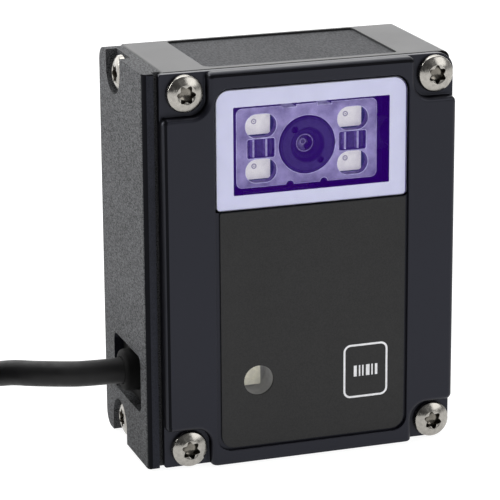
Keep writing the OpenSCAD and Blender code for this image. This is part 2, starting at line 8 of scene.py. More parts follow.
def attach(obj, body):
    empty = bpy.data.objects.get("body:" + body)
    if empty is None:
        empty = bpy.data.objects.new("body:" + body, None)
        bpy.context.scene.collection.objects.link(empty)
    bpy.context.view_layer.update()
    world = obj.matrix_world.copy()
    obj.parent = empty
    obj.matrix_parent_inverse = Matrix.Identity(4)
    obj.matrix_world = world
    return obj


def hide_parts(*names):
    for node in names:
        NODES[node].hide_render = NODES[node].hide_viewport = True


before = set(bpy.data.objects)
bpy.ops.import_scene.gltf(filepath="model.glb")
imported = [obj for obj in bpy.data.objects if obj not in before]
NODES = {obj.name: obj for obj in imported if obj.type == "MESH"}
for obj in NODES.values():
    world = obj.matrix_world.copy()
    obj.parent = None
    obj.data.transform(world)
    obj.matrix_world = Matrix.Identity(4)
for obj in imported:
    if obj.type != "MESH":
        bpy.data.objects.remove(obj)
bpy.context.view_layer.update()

MM = 0.001
scene = bpy.context.scene
scene.view_settings.view_transform = "Standard"
scene.view_settings.look = "None"

# ---------------------------------------------------------------- camera

AZ, EL, ROLL = math.radians(-18.638), math.radians(16.415), math.radians(-0.378)
AIM, FAR = Vector((-0.0038173, 0.0, 0.0255616)), 0.3492739
back = Vector((math.sin(AZ) * math.cos(EL), -math.cos(AZ) * math.cos(EL), math.sin(EL)))
right = (-back).cross(Vector((0, 0, 1))).normalized()
up = right.cross(-back)
cam_x = right * math.cos(ROLL) + up * math.sin(ROLL)
cam_y = up * math.cos(ROLL) - right * math.sin(ROLL)
eye = AIM + back * FAR
cam_data = bpy.data.cameras.new("camera")
cam_data.sensor_width, cam_data.lens = 36.0, 189.92
cam_data.clip_start, cam_data.clip_end = 0.01, 20.0
camera = bpy.data.objects.new("camera", cam_data)
scene.collection.objects.link(camera)
camera.matrix_world = Matrix((
    (cam_x.x, cam_y.x, back.x, eye.x),
    (cam_x.y, cam_y.y, back.y, eye.y),
    (cam_x.z, cam_y.z, back.z, eye.z),
    (0, 0, 0, 1),
))
scene.camera = camera

# ---------------------------------------------------------------- finishes


def surface(name, color, rough, metallic=0.0, spec=0.5, tone=(3.0, 0.08), rvar=(1.5, 0.05),
            grain=None, coat=0.0, coat_rough=0.1, alpha=1.0, sheen=0.0, emit=0.0, fine=None,
            space="Object", tint=None, along=1.0):
    """A finish with noise in its colour, its gloss and its relief. Sizes are in millimetres:
    tone (patch, share), rvar (patch, change), grain (size, height, strength), fine (size, share).
    along is how much longer the noise is in Y."""
    m = bpy.data.materials.new(name)
    m.use_nodes = True
    nodes, links = m.node_tree.nodes, m.node_tree.links
    b = nodes["Principled BSDF"]
    b.inputs["Metallic"].default_value = metallic
    b.inputs["Specular IOR Level"].default_value = spec
    b.inputs["Alpha"].default_value = alpha
    b.inputs["Coat Weight"].default_value = coat
    b.inputs["Coat Roughness"].default_value = coat_rough
    b.inputs["Sheen Weight"].default_value = sheen
    if tint:
        b.inputs["Specular Tint"].default_value = (*tint, 1)
    place = nodes.new("ShaderNodeTexCoord")
    where = nodes.new("ShaderNodeMapping")
    where.inputs["Scale"].default_value = (1.0, 1.0 / along, 1.0)
    links.new(place.outputs[space], where.inputs["Vector"])

    def noise(size, detail=2.0):
        n = nodes.new("ShaderNodeTexNoise")
        n.inputs["Scale"].default_value = 1000.0 / size
        n.inputs["Detail"].default_value = detail
        links.new(where.outputs["Vector"], n.inputs["Vector"])
        return n.outputs[0]

    def spread(value, low, high, a=0.3, z=0.7):
        r = nodes.new("ShaderNodeMapRange")
        r.inputs["From Min"].default_value, r.inputs["From Max"].default_value = a, z
        r.inputs["To Min"].default_value, r.inputs["To Max"].default_value = low, high
        links.new(value, r.inputs["Value"])
        return r.outputs["Result"]

    dark = [c * (1 - tone[1]) for c in color]
    light = [min(1.0, c * (1 + tone[1])) for c in color]
    mix = nodes.new("ShaderNodeMix")
    mix.data_type = "RGBA"
    mix.inputs[6].default_value, mix.inputs[7].default_value = (*dark, 1), (*light, 1)
    links.new(spread(noise(tone[0], 3.0), 0.0, 1.0), mix.inputs[0])
    out = mix.outputs[2]
    if fine:
        dots = nodes.new("ShaderNodeMix")
        dots.data_type, dots.blend_type = "RGBA", "MULTIPLY"
        dots.inputs[0].default_value = 1.0
        links.new(out, dots.inputs[6])
        grey = nodes.new("ShaderNodeCombineColor")
        value = spread(noise(fine[0], 1.0), 1 - fine[1], 1 + fine[1])
        for k in range(3):
            links.new(value, grey.inputs[k])
        links.new(grey.outputs[0], dots.inputs[7])
        out = dots.outputs[2]
    links.new(out, b.inputs["Base Color"])
    # emit paints a glow in the finish's own colour onto parts that are no lamps
    if emit:
        links.new(out, b.inputs["Emission Color"])
        b.inputs["Emission Strength"].default_value = emit
    links.new(spread(noise(rvar[0]), max(0.02, rough - rvar[1]), min(1.0, rough + rvar[1])),
              b.inputs["Roughness"])
    if grain:
        bump = nodes.new("ShaderNodeBump")
        bump.inputs["Strength"].default_value = grain[2]
        bump.inputs["Distance"].default_value = grain[1] * MM
        links.new(noise(grain[0], 2.0), bump.inputs["Height"])
        links.new(bump.outputs[0], b.inputs["Normal"])
    return m


BLUE = (0.82, 0.85, 1.0)
M = {
    "housing": surface("housing_black", (0.012, 0.012, 0.013), 0.42, spec=0.46, tone=(5, 0.1), rvar=(6, 0.015), grain=(0.12, 0.003, 0.1)),
    "recess": surface("recess_sand", (0.056, 0.057, 0.0612), 0.7, spec=0.12, tone=(8, 0.05), rvar=(6, 0.02), fine=(0.2, 0.42),
                      grain=(0.2, 0.03, 0.4), along=3.0),
    "plate": surface("plate_sand", (0.0558, 0.057, 0.0605), 0.6, spec=0.12, tone=(9, 0.04), rvar=(6, 0.02), fine=(0.155, 0.9),
                     grain=(0.155, 0.015, 0.4), along=2.5),
    # darker copy of the plate finish: painted shade on the plate's front strip and on the inner walls of its cable
    # opening
    "plate_shade": surface("plate_painted_shade", (0.0125, 0.0132, 0.0185), 0.45, spec=0.2, tone=(4, 0.1), tint=BLUE, fine=(0.2, 0.4),
                           grain=(0.2, 0.015, 0.4)),
    "cover": surface("cover_satin", (0.006, 0.006, 0.010), 0.36, spec=0.335, tone=(6, 0.1), rvar=(6, 0.02), tint=BLUE,
                     grain=(0.1, 0.003, 0.15)),
    # near-black copy of the cover finish: painted dark reflection on the inner bands of roundings, painted shade on
    # walls and in gaps
    "cover_painted_dark": surface("cover_painted_dark", (0.003, 0.003, 0.004), 0.5, spec=0.08, tone=(4, 0.1), rvar=(6, 0.02), tint=BLUE,
                          grain=(0.1, 0.003, 0.15)),
    # glossier copy of the cover finish: painted highlight on the outer bands of the left and top roundings
    "cover_painted_highlight": surface("cover_painted_highlight", (0.006, 0.006, 0.008), 0.4, spec=0.38, tone=(4, 0.1), rvar=(6, 0.02), tint=BLUE,
                          grain=(0.1, 0.003, 0.15)),
    # dark rubber of the gaskets and the bush, also painted on the housing's front face as painted shade in the gap
    # behind the cover
    "seal": surface("seal_rubber", (0.0030, 0.0030, 0.0030), 0.7, spec=0.12, grain=(0.2, 0.01, 0.3)),
    "steel": surface("screw_steel", (0.36, 0.345, 0.317), 0.22, metallic=1.0, tone=(0.5, 0.16),
                     rvar=(0.5, 0.08), grain=(0.2, 0.008, 0.4)),
    # darker steel: painted shade on the lobe walls and the cone of the screw recess
    "pit_steel_shade": surface("screw_pit_painted_shade", (0.17, 0.158, 0.137), 0.2, metallic=1.0, tone=(0.5, 0.25),
                            rvar=(0.3, 0.1), grain=(0.2, 0.01, 0.5)),
    # darker still: painted shade on the floor of the screw recess
    "pit_floor_shade": surface("screw_pit_floor_painted_shade", (0.05, 0.047, 0.04), 0.3, metallic=1.0, tone=(0.4, 0.4),
                            rvar=(0.3, 0.1), grain=(0.2, 0.01, 0.5)),
    "film": surface("overlay_film", (0.013, 0.013, 0.0135), 0.4, spec=0.3, tone=(7, 0.08), fine=(0.16, 0.3), grain=(0.08, 0.002, 0.25)),
    # key print: its colour is real print, and the emission paints a glow on it
    "ink": surface("key_ink", (0.76, 0.76, 0.78), 0.5, tone=(0.6, 0.08), grain=(0.1, 0.003, 0.3), emit=0.12),
    # window print: its colour is real print, and the emission paints a glow on it
    "pale": surface("window_print", (0.83, 0.885, 0.895), 0.5, spec=0.0, tone=(2.5, 0.03), grain=(0.15, 0.002, 0.2), emit=0.045),
    # violet veil that stands in for the coating's violet reflection: a painted reflection
    "coat_painted_reflection": surface("window_violet_painted_reflection", (0.155, 0.001, 0.9), 0.3, spec=0.0, tone=(6, 0.05), alpha=0.14),
    "open": surface("window_back", (0.3, 0.3, 0.4), 0.3, spec=0.0, tone=(6, 0.05), alpha=0.01),
    "clear": surface("window_edge", (0.66, 0.68, 0.80), 0.15, spec=0.4, tone=(2, 0.05), alpha=0.75),
    "tape": surface("tape_black", (0.006, 0.006, 0.007), 0.8, spec=0.1, grain=(0.3, 0.01, 0.3)),
    # clear moulding colour with a painted glow from its emission
    "moulding": surface("clear_moulding", (0.26, 0.24, 0.38), 0.3, spec=0.3, tone=(2.0, 0.4), grain=(0.5, 0.02, 0.35), emit=0.26),
    # lighter copy of the moulding: painted highlight on its front edges and slot tops, with a painted glow
    "moulding_highlight": surface("clear_painted_highlight", (0.44, 0.44, 0.58), 0.2, spec=0.4, tone=(0.8, 0.45), grain=(0.4, 0.01, 0.3), emit=0.36),
    # darker copy of the moulding: painted shade on the walls deep in its openings, with a painted glow
    "moulding_shade": surface("clear_painted_shade", (0.055, 0.045, 0.12), 0.3, spec=0.2, tone=(0.8, 0.4), grain=(0.4, 0.01, 0.3), emit=0.18),
    # aimer rib lenses, with a painted glow from the emission
    "ribs": surface("aimer_ribs", (0.12, 0.10, 0.22), 0.2, spec=0.3, tone=(0.5, 0.4), grain=(0.4, 0.02, 0.3), emit=0.2),
    # lighter copy: painted highlight on the rib crests
    "rib_highlight": surface("aimer_painted_highlight", (0.34, 0.33, 0.48), 0.15, spec=0.4, tone=(0.6, 0.3), grain=(0.4, 0.02, 0.3), emit=0.3),
    # darker copy: painted shade on the rib flanks
    "rib_shade": surface("aimer_painted_shade", (0.022, 0.018, 0.06), 0.2, spec=0.3, tone=(0.5, 0.4), grain=(0.4, 0.02, 0.3), emit=0.15),
    # lens barrel colour with a painted glow from its emission
    "barrel": surface("barrel_black", (0.024, 0.022, 0.055), 0.5, spec=0.15, tone=(0.5, 0.2), grain=(0.14, 0.01, 0.4), emit=0.17),
    # darker copy with less glow: painted shade on the barrel's inner walls
    "barrel_painted_shade": surface("barrel_painted_shade", (0.010, 0.009, 0.030), 0.5, spec=0.1, tone=(0.5, 0.25), grain=(0.14, 0.01, 0.4), emit=0.05),
    "lens": surface("lens_glass", (0.008, 0.007, 0.02), 0.06, spec=0.5, tone=(0.8, 0.3)),
    # lighter glowing copy: a painted reflection crescent on the lens dish
    "lens_painted_reflection": surface("lens_painted_reflection", (0.09, 0.085, 0.12), 0.2, spec=0.5, tone=(0.5, 0.5), emit=0.3),
    # light glowing copy: painted highlight rings on the lens
    "lens_painted_rings": surface("lens_painted_rings", (0.2, 0.19, 0.24), 0.2, spec=0.5, tone=(0.4, 0.5), emit=0.3),
    # LED packages are off; their white is real, and the emission paints a glow on it
    "led": surface("led_white", (0.80, 0.80, 0.71), 0.5, spec=0.2, tone=(0.9, 0.07), grain=(0.15, 0.005, 0.3), emit=0.405),
    # real grey mark on each chip, with a painted glow from the emission
    "led_mark": surface("led_mark", (0.33, 0.33, 0.33), 0.4, tone=(0.3, 0.2), emit=0.3),
    # status LED package is off; its beige is real, and the emission paints a glow on it
    "status": surface("status_package", (0.62, 0.60, 0.51), 0.45, tone=(0.8, 0.1), grain=(0.2, 0.006, 0.3), emit=0.32),
    # light sleeve grey with a painted glow from its emission
    "sleeve": surface("sleeve_grey", (0.24, 0.24, 0.245), 0.5, tone=(1.0, 0.1), grain=(0.15, 0.006, 0.3), emit=0.16),
    "inner": surface("inner_black", (0.010, 0.010, 0.011), 0.55, spec=0.2, grain=(0.2, 0.01, 0.3)),
    "board": surface("board_green", (0.018, 0.10, 0.045), 0.4, tone=(1.4, 0.25), grain=(0.6, 0.01, 0.3)),
    "chassis": surface("chassis_grey", (0.03, 0.03, 0.032), 0.55, tone=(2, 0.15), grain=(0.25, 0.02, 0.4)),
    "chip": surface("chip_black", (0.02, 0.02, 0.02), 0.6, tone=(1.0, 0.2), grain=(0.15, 0.006, 0.4)),
    "amber": surface("flex_amber", (0.42, 0.21, 0.04), 0.35, tone=(1.2, 0.2), grain=(0.6, 0.006, 0.3)),
    "ivory": surface("connector_ivory", (0.70, 0.66, 0.54), 0.45, tone=(1.5, 0.06), grain=(0.2, 0.006, 0.3)),
    "tan": surface("part_tan", (0.36, 0.25, 0.14), 0.5, tone=(0.6, 0.3), grain=(0.2, 0.006, 0.3)),
    "wire": surface("wire_red", (0.36, 0.04, 0.03), 0.4, tone=(0.8, 0.15), grain=(0.3, 0.006, 0.3)),
    "cable": surface("cable_jacket", (0.012, 0.012, 0.0125), 0.5, spec=0.26, tone=(2.0, 0.2), rvar=(1.0, 0.08),
                     grain=(0.3, 0.012, 0.3)),
    "strap": surface("tie_fabric", (0.016, 0.016, 0.017), 0.9, tone=(0.5, 0.5), grain=(0.22, 0.08, 0.9), sheen=0.3),
    "plug": surface("plug_black", (0.010, 0.010, 0.0105), 0.5, spec=0.25, tone=(2.0, 0.15), grain=(0.25, 0.012, 0.35)),
    "nickel": surface("plug_metal", (0.28, 0.28, 0.277), 0.5, metallic=1.0, tone=(2.0, 0.08),
                      rvar=(0.8, 0.08), grain=(0.3, 0.004, 0.3)),
    "gold": surface("contact_gold", (0.72, 0.50, 0.17), 0.25, metallic=1.0, tone=(0.6, 0.1)),
    "thread": surface("tapped_bore", (0.012, 0.012, 0.013), 0.5, tone=(0.6, 0.2), grain=(0.15, 0.006, 0.3)),
}

# ---------------------------------------------------------------- mesh tools, in millimetres


def rounded(points, radii, n=8):
    """A closed outline, with each corner rounded by its own radius."""
    out = []
    for i, p in enumerate(points):
        r, b = radii[i], Vector(p)
        if r <= 0:
            out.append((b.x, b.y))
            continue
        u = (Vector(points[i - 1]) - b).normalized()
        v = (Vector(points[(i + 1) % len(points)]) - b).normalized()
        half = u.angle(v) / 2
        mid = b + (u + v).normalized() * (r / math.sin(half))
        p1, p2 = b + u * (r / math.tan(half)) - mid, b + v * (r / math.tan(half)) - mid
        a1, a2 = math.atan2(p1.y, p1.x), math.atan2(p2.y, p2.x)
        d = (a2 - a1 + math.pi) % (2 * math.pi) - math.pi
        out += [(mid.x + r * math.cos(a1 + d * k / n), mid.y + r * math.sin(a1 + d * k / n)) for k in range(n + 1)]
    return out


def rect(xa, za, xb, zb, r=0.0, n=8):
    radii = r if isinstance(r, (tuple, list)) else (r,) * 4
    return rounded([(xa, za), (xb, za), (xb, zb), (xa, zb)], radii, n)


def circle(x, z, r, n=48):
    return [(x + r * math.cos(2 * math.pi * k / n), z + r * math.sin(2 * math.pi * k / n)) for k in range(n)]


def prism(outline, a, b, plane="xz"):
    """A closed solid of an outline, from a to b along the third axis."""
    put = {"xz": lambda u, v, w: (u, w, v), "yz": lambda u, v, w: (w, u, v), "xy": lambda u, v, w: (u, v, w)}[plane]
    bm = bmesh.new()
    lo = [bm.verts.new(put(u, v, a)) for u, v in outline]
    hi = [bm.verts.new(put(u, v, b)) for u, v in outline]
    bm.faces.new(lo)
    bm.faces.new(hi)
    for i in range(len(lo)):
        j = (i + 1) % len(lo)
        bm.faces.new((lo[i], lo[j], hi[j], hi[i]))
    bmesh.ops.recalc_face_normals(bm, faces=bm.faces)
    return to_mesh(bm)


def loft(levels, plane="xz"):
    """A closed solid through outlines of one point count, each at its own place along the third axis."""
    put = {"xz": lambda u, v, w: (u, w, v), "yz": lambda u, v, w: (w, u, v), "xy": lambda u, v, w: (u, v, w)}[plane]
    bm = bmesh.new()
    rings = [[bm.verts.new(put(u, v, w)) for u, v in outline] for outline, w in levels]
    bm.faces.new(rings[0])
    bm.faces.new(rings[-1])
    for a, b in zip(rings, rings[1:]):
        for i in range(len(a)):
            j = (i + 1) % len(a)
            bm.faces.new((a[i], a[j], b[j], b[i]))
    bmesh.ops.recalc_face_normals(bm, faces=bm.faces)
    return to_mesh(bm)


def turn_in(r, steps=5):
    """Steps of a rounded edge: how far in and how far along."""
    return [(r * (1 - math.cos(math.pi / 2 * k / steps)), r * math.sin(math.pi / 2 * k / steps)) for k in range(steps + 1)]


def flared(xa, za, xb, zb, r, floor, face, w):
    """Cutter for a pocket in the front with a softly rounded rim."""
    rr = r if isinstance(r, (tuple, list)) else (r,) * 4
    grown = lambda g: rect(xa - g, za - g, xb + g, zb + g, tuple(q + g for q in rr), 10)
    return loft([(grown(0), floor)] + [(grown(i), face + w - j) for i, j in turn_in(w, 4)] + [(grown(w), face - 3)])


def to_mesh(bm):
    me = bpy.data.meshes.new("m")
    bm.to_mesh(me)
    bm.free()
    return me


def lathe(profile, at, axis, n=64, closed=False):
    """A turned solid: profile points are (radius, height), from pole to pole or round a ring."""
    bm = bmesh.new()
    rings = []
    for r, h in profile:
        if r < 1e-6:
            rings.append([bm.verts.new((0, 0, h))])
        else:
            rings.append([bm.verts.new((r * math.cos(2 * math.pi * k / n), r * math.sin(2 * math.pi * k / n), h))
                          for k in range(n)])
    pairs = list(zip(rings, rings[1:])) + ([(rings[-1], rings[0])] if closed else [])
    for a, b in pairs:
        for k in range(n):
            j = (k + 1) % n
            if len(a) == 1 and len(b) == 1:
                continue
            if len(a) == 1:
                bm.faces.new((a[0], b[k], b[j]))
            elif len(b) == 1:
                bm.faces.new((a[k], a[j], b[0]))
            else:
                bm.faces.new((a[k], a[j], b[j], b[k]))
    bmesh.ops.recalc_face_normals(bm, faces=bm.faces)
    bm.transform(Matrix.Translation(at) @ Vector((0, 0, 1)).rotation_difference(Vector(axis)).to_matrix().to_4x4())
    return to_mesh(bm)


def cut(mesh, cutters, op="DIFFERENCE"):
    """The mesh with the others taken away from it, or joined to it."""
    for c in cutters:
        a, b = bpy.data.objects.new("a", mesh), bpy.data.objects.new("b", c)
        scene.collection.objects.link(a)
        scene.collection.objects.link(b)
        mod = a.modifiers.new("cut", "BOOLEAN")
        mod.operation, mod.solver, mod.object = op, "EXACT", b
        dg = bpy.context.evaluated_depsgraph_get()
        dg.update()
        made = bpy.data.meshes.new_from_object(a.evaluated_get(dg))
        bpy.data.objects.remove(a)
        bpy.data.objects.remove(b)
        bpy.data.meshes.remove(mesh)
        bpy.data.meshes.remove(c)
        mesh = made
    bm = bmesh.new()
    bm.from_mesh(mesh)
    bmesh.ops.remove_doubles(bm, verts=bm.verts, dist=1e-4)
    bmesh.ops.dissolve_degenerate(bm, edges=bm.edges, dist=1e-5)
    bm.to_mesh(mesh)
    bm.free()
    return mesh


def fillet(mesh, width, choose, segments=3, angle=28.0):
    """Rounds the sharp edges that choose(middle, direction, edge) picks."""
    bm = bmesh.new()
    bm.from_mesh(mesh)
    bm.normal_update()
    picked = []
    for e in bm.edges:
        if len(e.link_faces) == 2 and math.degrees(e.calc_face_angle(0.0)) > angle:
            a, b = e.verts[0].co, e.verts[1].co
            if choose((a + b) / 2, (b - a).normalized(), e):
                picked.append(e)
    if picked:
        bmesh.ops.bevel(bm, geom=picked, offset=width, offset_type="OFFSET", segments=segments, profile=0.5,
                        affect="EDGES", clamp_overlap=True, loop_slide=True)
    bm.to_mesh(mesh)
    bm.free()
    return mesh


def join(meshes):
    bm = bmesh.new()
    for me in meshes:
        bm.from_mesh(me)
        bpy.data.meshes.remove(me)
    return to_mesh(bm)


def piece(mesh, name, finish, body="reader", nodes=(), paint=None, sharp=35.0, at=None):
    """Puts a mesh in the scene in metres, riding on a body. paint(face centre, normal) gives a finish's number."""
    finishes = finish if isinstance(finish, (list, tuple)) else [finish]
    for f in finishes:
        mesh.materials.append(M[f])
    if paint:
        for p in mesh.polygons:
            p.material_index = paint(p.center, p.normal)
    else:
        for p in mesh.polygons:
            p.material_index = 0
    mesh.transform(Matrix.Scale(MM, 4))
    for p in mesh.polygons:
        p.use_smooth = True
    mesh.set_sharp_from_angle(angle=math.radians(sharp))
    mesh.name = name
    ob = bpy.data.objects.new(name, mesh)
    scene.collection.objects.link(ob)
    if at is not None:
        ob.location = Vector(at) * MM
    w = ob.modifiers.new("normals", "WEIGHTED_NORMAL")
    w.keep_sharp = True
    w.weight = 60
    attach(ob, body)
    if nodes:
        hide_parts(*nodes)
    return ob


def near(a, b, d=0.02):
    return abs(a - b) < d


# ---------------------------------------------------------------- planes of the reader

X0, X1, XP, HX, LIP, CX = -21.0, 21.0, -18.35, -18.05, -19.5, -18.85
YF, YL, YC, YW, YK, HY, YB = -10.6, -10.1, -9.25, -9.1, -8.3, -8.0, 10.6
H, HT = 52.5, 52.35
XC, EX, EZ = 1.25, 1.15, 41.55
SX, SZ = (-15.55, 18.35), (2.45, 49.75)
SY, PZ = 4.1, (2.65, 49.85)
BZ, OZ = 10.85, 10.55
KX, KZ, LX, LZ = 8.65, 10.7, -6.2, 11.0

# ---------------------------------------------------------------- cable

COIL, TURN_OUT, TURNS, PITCH, CLIMB = (-65.0, 8.0), 21.8, 1.8255, 3.45, 60.0
LAYERS = (2.5, 5.9, 9.3, 12.7, 16.1, 19.5)
LEAD = [(-17, 0, BZ), (-22, 0, BZ), (-27, 0.4, BZ), (-30, 1.5, 10.8), (-33, 3.4, 10.6), (-35.4, 5.8, 10.2),
        (-37.9, 9, 9), (-40.4, 12.1, 7), (-42.8, 15.2, 4.9), (-45.3, 18.4, 3.2), (-47.85, 21.5, 2.5)]
TAIL = [(-47.95, -5.6, 19.5), (-45.6, -2.2, 19.7), (-44, 1.6, 20.2), (-43.2, 5.6, 21), (-43.2, 9.6, 21.9),
        (-44.2, 13.5, 22.8), (-46.3, 17, 23.7), (-49.4, 19.7, 24.5), (-53, 21.5, 25), (-57.1, 22, 25.2), (-60, 22, 25.2)]
PLUG = (-57.1, 22.0, 25.2)


def through(points, steps=5):
    """A smooth line through the points."""
    p = [Vector(q) for q in points]
    p = [p[0] * 2 - p[1]] + p + [p[-1] * 2 - p[-2]]
    out = []
    for i in range(1, len(p) - 2):
        for k in range(steps):
            t = k / steps
            out.append(0.5 * (2 * p[i] + (p[i + 1] - p[i - 1]) * t
                              + (2 * p[i - 1] - 5 * p[i] + 4 * p[i + 1] - p[i + 2]) * t * t
                              + (3 * p[i] - p[i - 1] - 3 * p[i + 1] + p[i + 2]) * t ** 3))
    return out + [p[-2]]


def coil_line():
    """Flat layers of turns, each wound in or out, with a slow climb to the next one."""
    turn, theta, out = TURNS * 360.0, 38.2, []
    inner = TURN_OUT - TURNS * PITCH
    for layer, z in enumerate(LAYERS):
        n = int(turn / 7.5)
        for k in range(n + 1):
            share = k / n
            out.append((theta + turn * share, TURN_OUT + (inner - TURN_OUT) * (1 - share if layer % 2 else share), z))
        theta += turn
        if layer < len(LAYERS) - 1:
            for k in range(1, 8):
                t = k / 8
                out.append((theta + CLIMB * t, out[-1][1], z + (LAYERS[layer + 1] - z) * t * t * (3 - 2 * t)))
            theta += CLIMB
    return [Vector((COIL[0] + r * math.cos(math.radians(a)), COIL[1] + r * math.sin(math.radians(a)), z))
            for a, r, z in out]


line = through(LEAD)[:-1] + coil_line() + through(TAIL)[1:]
curve = bpy.data.curves.new("cable", "CURVE")
curve.dimensions = "3D"
curve.bevel_depth, curve.bevel_resolution, curve.use_fill_caps = 1.7 * MM, 6, True
spline = curve.splines.new("POLY")
spline.points.add(len(line) - 1)
for i, q in enumerate(line):
    spline.points[i].co = (q.x * MM, q.y * MM, q.z * MM, 1)
spline.use_smooth = True
cable = bpy.data.objects.new("cable", curve)
curve.materials.append(M["cable"])
scene.collection.objects.link(cable)
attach(cable, "reader")
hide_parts("cable_lead", "cable_coil", "cable_tail")


def strap():
    """Hook-and-loop strap round the turns, with its free end lying on top."""
    t, w = 0.8, 5.0
    inner = rounded([(13.3, 0.8), (23.65, 0.8), (23.65, 21.25), (13.3, 21.25)], (1.5, 1.5, 1.5, 1.5), 6)
    outer = rounded([(12.55, 0.02), (24.42, 0.02), (24.42, 21.75), (12.55, 21.75)], (2.2, 2.2, 2.2, 2.2), 6)
    bm = bmesh.new()
    vs = {}
    for side, y in enumerate((-w / 2, w / 2)):
        for ring, pts in enumerate((inner, outer)):
            vs[side, ring] = [bm.verts.new((x, y, z)) for x, z in pts]
    n = len(inner)
    for i in range(n):
        j = (i + 1) % n
        bm.faces.new((vs[0, 0][i], vs[0, 0][j], vs[1, 0][j], vs[1, 0][i]))
        bm.faces.new((vs[0, 1][i], vs[1, 1][i], vs[1, 1][j], vs[0, 1][j]))
        for s in (0, 1):
            bm.faces.new((vs[s, 0][i], vs[s, 1][i], vs[s, 1][j], vs[s, 0][j]))
    bmesh.ops.recalc_face_normals(bm, faces=bm.faces)
    band = fillet(to_mesh(bm), 0.15, lambda c, d, e: abs(abs(c.y) - w / 2) < 0.01, 2, 60)
    tab = fillet(prism(rect(14.4, 0, 22.2, 5.0, (0.3, 2.2, 2.2, 0.3), 6), 21.73, 22.08, "xy"), 0.1,
                 lambda c, d, e: c.z > 22.05, 2)
    tab.transform(Matrix.Translation((0, -2.5, 0)))
    both = join([band, tab])
    both.transform(Matrix.Translation((COIL[0], COIL[1], 0)) @ Matrix.Rotation(math.radians(230), 4, "Z"))
    return piece(both, "cable_strap", "strap", nodes=("cable_tie",))


def bush():
    """Rubber bush: a collar with a soft rim in front of a block that fills the plate's opening."""
    collar = lathe([(1.78, 3.2), (1.78, 0.12), (1.9, 0.0), (2.3, 0.0), (2.5, 0.05), (2.66, 0.16), (2.76, 0.32),
                    (2.8, 0.55), (2.8, 1.9), (2.85, 2.05), (2.85, 3.2)], (-21.85, 0, BZ), (1, 0, 0), 64, True)
    block = prism(rect(-6.05, OZ - 3.75, 6.05, OZ + 3.75, 1.0), -19.8, -18.25, "yz")
    block = fillet(cut(block, [prism(circle(0, BZ, 2.4), -25, -10, "yz")]), 0.2,
                   lambda c, d, e: near(c.x, -19.8) and Vector((c.y, c.z - BZ)).length > 2.6, 3)
    flange = prism(rect(-7, OZ - 4.7, 7, OZ + 4.7, 1.1), -18.25, -16.85, "yz")
    flange = cut(flange, [prism(circle(0, BZ, 1.78), -25, -10, "yz")])
    return piece(join([collar, block, flange]), "cable_bush", "seal", nodes=("cable_bushing",))


def plug():
    """Moulded plug: grip with soft edges and ribbed strain relief, metal shell, tongue and contacts."""
    px, py, pz = PLUG
    grip = prism(rect(py - 7.8, pz - 3.85, py + 7.8, pz + 3.85, 1.7), px - 26.5, px - 7, "yz")
    grip = cut(grip, [prism(rect(py - 6.05, pz - 2.3, py + 6.05, pz + 2.3, 0.3), px - 30, px - 19, "yz")])
    grip = fillet(grip, 0.8, lambda c, d, e: near(c.x, px - 7) or (near(c.x, px - 26.5) and abs(c.y - py) > 6.5)
                  or (near(c.x, px - 26.5) and abs(c.z - pz) > 3), 4)
    dents = []
    for s in (-1, 1):
        for k in range(4):
            dents.append(prism(rect(px - 21.2 + 2.6 * k, py - 4.6, px - 20.2 + 2.6 * k, py + 4.6, 0.45),
                               pz + s * 3.6, pz + s * 5, "xy"))
    grip = cut(grip, dents)
    relief = [(0.0, -7.6), (3.1, -7.6), (3.1, -6.6), (2.95, -6.4), (2.45, -6.3), (2.45, -5.9), (2.85, -5.75),
              (2.95, -5.6), (2.95, -4.5), (2.8, -4.3), (2.3, -4.2), (2.3, -3.8), (2.65, -3.65), (2.75, -3.5),
              (2.75, -2.4), (2.6, -2.2), (2.15, -2.1), (2.15, -1.6), (2.35, -1.45), (2.4, -1.2), (2.4, -0.3),
              (2.2, -0.02), (0.0, -0.02)]
    boot = lathe(relief, (px, py, pz), (1, 0, 0), 48)
    body = piece(join([grip, boot]), "plug_grip", "plug", nodes=("plug_body",))
    shell = prism(rect(py - 6, pz - 2.25, py + 6, pz + 2.25, 0.55, 5), px - 38.5, px - 19.1, "yz")
    shell = cut(shell, [prism(rect(py - 5.7, pz - 1.95, py + 5.7, pz + 1.95, 0.3, 4), px - 45, px - 19.4, "yz")]
                + [prism(rect(px - 33.5, py + s * 2.6 - 1.1, px - 31.1, py + s * 2.6 + 1.1, 0.15, 3), pz - 5, pz + 5, "xy")
                   for s in (-1, 1)]
                + [prism(rect(px - 45, py - 0.06, px - 18, py + 0.06), pz - 4, pz - 1.5, "xy")])
    shell = fillet(shell, 0.08, lambda c, d, e: near(c.x, px - 38.5), 2)
    metal = piece(shell, "plug_shell_skin", "nickel", nodes=("plug_shell",))
    tongue = cut(prism(rect(px - 37.8, py - 5.6, px - 19.5, py + 5.6, 0.2, 3), pz - 1.9, pz - 0.05, "xy"),
                 [prism(rect(px - 37.2, py - 4.2 + 2.3 * k, px - 28.0, py - 2.7 + 2.3 * k), pz - 0.25, pz + 1, "xy")
                  for k in range(4)])
    tongue = fillet(tongue, 0.15, lambda c, d, e: near(c.x, px - 37.8), 2)
    rear = prism(rect(px - 24, py - 5.6, px - 19.5, py + 5.6), pz - 0.05, pz + 1.9, "xy")
    insert = piece(join([tongue, rear]), "plug_insert", "ivory", nodes=("plug_tongue",))
    NODES["plug_contacts"].data.materials.clear()
    NODES["plug_contacts"].data.materials.append(M["gold"])
    return [body, metal, insert, NODES["plug_contacts"]]


tie = strap()
bush_piece = bush()
plug_pieces = plug()

# ---------------------------------------------------------------- casing


def tapped(x, z):
    """Cutter for a tapped hole in the back: a countersink and thread grooves."""
    prof, y = [(0.0, -0.5), (1.55, -0.5), (1.55, 0.0), (1.27, 0.28)], 0.28
    while y < 4.6:
        prof += [(1.27, y + 0.08), (1.42, y + 0.22), (1.27, y + 0.36), ]
        y += 0.45
    prof += [(1.25, 4.9), (0.0, 5.3)]
    return lathe(prof, (x, YB, z), (0, -1, 0), 40)


